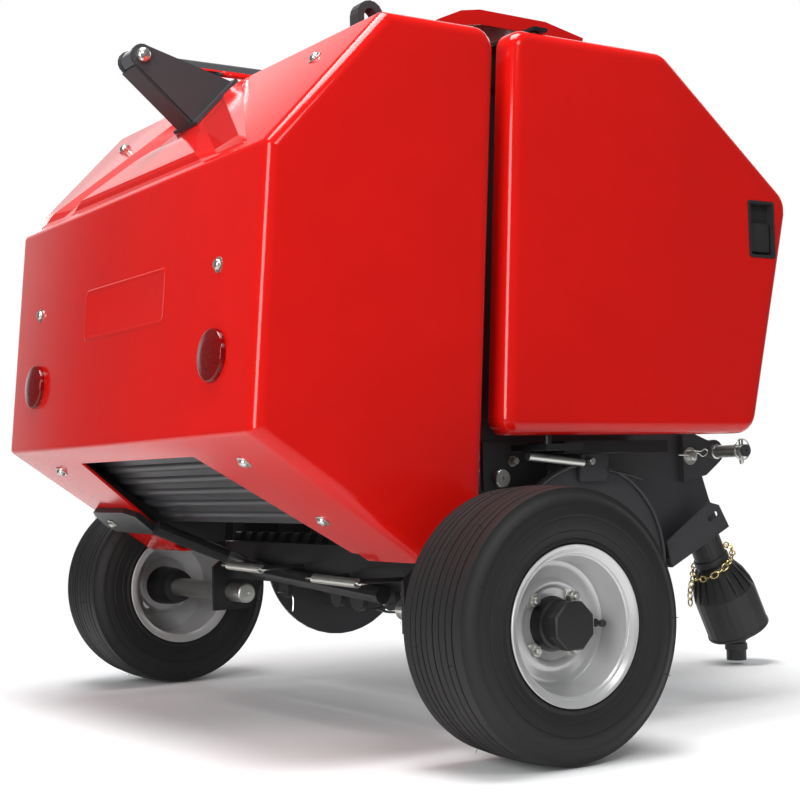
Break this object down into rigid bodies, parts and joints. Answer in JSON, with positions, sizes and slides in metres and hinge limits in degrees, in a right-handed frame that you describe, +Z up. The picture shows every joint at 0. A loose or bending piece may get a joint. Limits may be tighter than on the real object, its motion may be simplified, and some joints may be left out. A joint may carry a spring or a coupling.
{
  "type": "round baler",
  "caption": "Small three-point round baler on two wheels, with hinged tailgate, side covers, tailgate ram, pickup and driveline.",
  "frame": {"origin": "middle of the machine's footprint box, on the ground it stands on", "axes": "+X to the machine's right, +Y forward towards the tractor, +Z up"},
  "size_m": [1.458, 1.4882, 1.285],
  "materials": {
    "red_paint": "glossy red paint",
    "red_cover": "glossy red moulded cover",
    "dark_paint": "dark grey paint",
    "black_paint": "black paint",
    "rim_silver": "silver paint",
    "zinc": "zinc plated steel",
    "chrome": "hard chrome",
    "tyre": "black rubber tyre",
    "cast_iron": "dark cast housing",
    "black_plastic": "black plastic guard"
  },
  "bodies": {
    "frame": {"side_plate_right": "dark_paint", "side_plate_left": "dark_paint", "tailgate_hinge_right": "dark_paint", "tailgate_hinge_left": "dark_paint", "top_beam": "dark_paint", "rear_top_bar": "dark_paint", "ram_base": "dark_paint", "hood_right": "red_paint", "hood_left": "red_paint", "front_shield": "red_paint", "mast": "dark_paint", "gearbox": "cast_iron", "front_beam": "dark_paint", "stand_bracket": "dark_paint", "axle_beam": "black_paint", "stub_axle_right": "zinc", "stub_axle_left": "zinc", "pickup_side_right": "dark_paint", "pickup_side_left": "dark_paint", "pickup_strippers": "dark_paint", "side_sill_right": "black_paint", "side_sill_left": "black_paint", "door_strap_right": "black_paint", "door_strap_left": "black_paint", "drive_case": "black_paint", "lower_hitch_right": "dark_paint", "lower_hitch_left": "dark_paint", "front_rollers": "dark_paint", "kicker_bar": "black_paint"},
    "tailgate": {"tailgate_shell": "red_paint", "tailgate_cover_right": "red_cover", "tailgate_cover_left": "red_cover", "tailgate_plate_right": "dark_paint", "tailgate_plate_left": "dark_paint", "tailgate_rollers": "dark_paint", "tailgate_apron": "dark_paint", "ram_bracket": "dark_paint"},
    "cover_right": {"side_cover_right": "red_cover"},
    "cover_left": {"side_cover_left": "red_cover"},
    "wheel_right": {"tyre_right": "tyre", "rim_right": "rim_silver"},
    "wheel_left": {"tyre_left": "tyre", "rim_left": "rim_silver"},
    "ram_barrel": {"ram_barrel": "black_paint"},
    "ram_rod": {"ram_rod": "chrome"},
    "pickup_reel": {"pickup_reel": "dark_paint"},
    "driveline": {"driveline": "black_plastic"},
    "parking_stand": {"parking_stand": "black_paint"}
  },
  "joints": [
    {"name": "tailgate_hinge", "type": "hinge", "parent": "frame", "child": "tailgate", "pos_m": [0, -0.29512, 1.095], "axis": [-1, 0, 0], "range_deg": [0, 55]},
    {"name": "ram_tilt", "type": "hinge", "parent": "frame", "child": "ram_barrel", "pos_m": [0, 0.08888, 1.138], "axis": [-1, 0, 0], "range_deg": [0, 27.9]},
    {"name": "ram_slide", "type": "slide", "parent": "ram_barrel", "child": "ram_rod", "axis": [0, 1, 0], "range_m": [0, 0.1275]},
    {"name": "cover_right_hinge", "type": "hinge", "parent": "frame", "child": "cover_right", "pos_m": [0.478, -0.19812, 0.8], "axis": [0, 0, -1], "range_deg": [0, 90]},
    {"name": "cover_left_hinge", "type": "hinge", "parent": "frame", "child": "cover_left", "pos_m": [-0.478, -0.19812, 0.8], "axis": [0, 0, 1], "range_deg": [0, 90]},
    {"name": "wheel_right_spin", "type": "hinge", "parent": "frame", "child": "wheel_right", "pos_m": [0.646, -0.35112, 0.199], "axis": [1, 0, 0], "continuous": true},
    {"name": "wheel_left_spin", "type": "hinge", "parent": "frame", "child": "wheel_left", "pos_m": [-0.646, -0.35112, 0.199], "axis": [1, 0, 0], "continuous": true},
    {"name": "pickup_spin", "type": "hinge", "parent": "frame", "child": "pickup_reel", "pos_m": [0, -0.06612, 0.262], "axis": [1, 0, 0], "continuous": true},
    {"name": "driveline_swing", "type": "hinge", "parent": "frame", "child": "driveline", "pos_m": [0, 0.43488, 0.6], "axis": [1, 0, 0], "range_deg": [0, 60]},
    {"name": "stand_fold", "type": "hinge", "parent": "frame", "child": "parking_stand", "pos_m": [0.12, 0.17888, 0.335], "axis": [1, 0, 0], "range_deg": [0, 80]}
  ],
  "couplings": [
    {"joint": "ram_tilt", "follows": "tailgate_hinge", "ratio": 0.5053},
    {"joint": "ram_slide", "follows": "tailgate_hinge", "m_per_rad": 0.1325}
  ]
}
